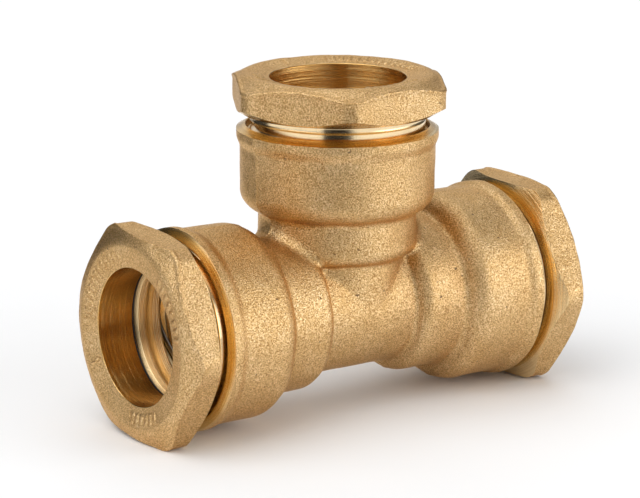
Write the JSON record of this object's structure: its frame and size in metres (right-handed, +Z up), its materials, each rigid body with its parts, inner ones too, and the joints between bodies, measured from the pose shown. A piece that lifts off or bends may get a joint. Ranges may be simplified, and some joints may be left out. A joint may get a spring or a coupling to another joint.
{
  "type": "push to connect pipe tee",
  "caption": "Equal tee for plastic water pipe: a cast brass body with a screwed hexagonal gland nut on each port; pipes push in and are gripped and sealed inside.",
  "frame": {"origin": "centre of the footprint, on the surface that the two run nuts stand on, halfway between their faces; the crossing of the axes is 0.55 mm to the right of it", "axes": "+X along the straight-through run towards the right port; +Z up the branch"},
  "size_m": [0.115, 0.0538, 0.0811],
  "materials": {
    "cast_brass": "shot-blasted as cast, with bright turned faces",
    "turned_brass": "turned",
    "spring_steel": "rolled strip",
    "rubber": "moulded, lightly greased",
    "ring_plastic": "moulded"
  },
  "bodies": {
    "tee": {"tee_body": "cast_brass", "left_backup_ring": "ring_plastic", "left_o_ring": "rubber", "right_backup_ring": "ring_plastic", "right_o_ring": "rubber", "branch_backup_ring": "ring_plastic", "branch_o_ring": "rubber"},
    "left_carrier": {"left_dust_seal": "rubber", "left_thrust_washer": "turned_brass", "left_wave_spring": "spring_steel"},
    "left_nut": {"left_nut": "cast_brass"},
    "left_grip": {"left_grip_ring": "turned_brass"},
    "right_carrier": {"right_dust_seal": "rubber", "right_thrust_washer": "turned_brass", "right_wave_spring": "spring_steel"},
    "right_nut": {"right_nut": "cast_brass"},
    "right_grip": {"right_grip_ring": "turned_brass"},
    "branch_carrier": {"branch_dust_seal": "rubber", "branch_thrust_washer": "turned_brass", "branch_wave_spring": "spring_steel"},
    "branch_nut": {"branch_nut": "cast_brass"},
    "branch_grip": {"branch_grip_ring": "turned_brass"}
  },
  "joints": [
    {"name": "left_nut_travel", "type": "slide", "parent": "tee", "child": "left_carrier", "axis": [-1, 0, 0], "range_m": [-0.00289, 0.00693]},
    {"name": "left_nut_turn", "type": "hinge", "parent": "left_carrier", "child": "left_nut", "pos_m": [-0.04845, 0, 0.02484], "axis": [-1, 0, 0], "range_deg": [-450, 1080]},
    {"name": "left_grip_slide", "type": "slide", "parent": "left_carrier", "child": "left_grip", "axis": [1, 0, 0], "range_m": [0, 0.0012], "stiffness_N_per_m": 4000, "deforming": ["left_wave_spring"]},
    {"name": "right_nut_travel", "type": "slide", "parent": "tee", "child": "right_carrier", "axis": [1, 0, 0], "range_m": [-0.00173, 0.00693]},
    {"name": "right_nut_turn", "type": "hinge", "parent": "right_carrier", "child": "right_nut", "pos_m": [0.04845, 0, 0.02484], "axis": [1, 0, 0], "range_deg": [-270, 1080]},
    {"name": "right_grip_slide", "type": "slide", "parent": "right_carrier", "child": "right_grip", "axis": [-1, 0, 0], "range_m": [0, 0.0012], "stiffness_N_per_m": 4000, "deforming": ["right_wave_spring"]},
    {"name": "branch_nut_travel", "type": "slide", "parent": "tee", "child": "branch_carrier", "axis": [0, 0, 1], "range_m": [-0.00289, 0.00693]},
    {"name": "branch_nut_turn", "type": "hinge", "parent": "branch_carrier", "child": "branch_nut", "pos_m": [0.00055, 0, 0.07204], "axis": [0, 0, 1], "range_deg": [-450, 1080]},
    {"name": "branch_grip_slide", "type": "slide", "parent": "branch_carrier", "child": "branch_grip", "axis": [0, 0, -1], "range_m": [0, 0.0012], "stiffness_N_per_m": 4000, "deforming": ["branch_wave_spring"]}
  ],
  "couplings": [
    {"joint": "left_nut_turn", "follows": "left_nut_travel", "rad_per_m": 2721.2},
    {"joint": "right_nut_turn", "follows": "right_nut_travel", "rad_per_m": 2721.2},
    {"joint": "branch_nut_turn", "follows": "branch_nut_travel", "rad_per_m": 2721.2}
  ]
}
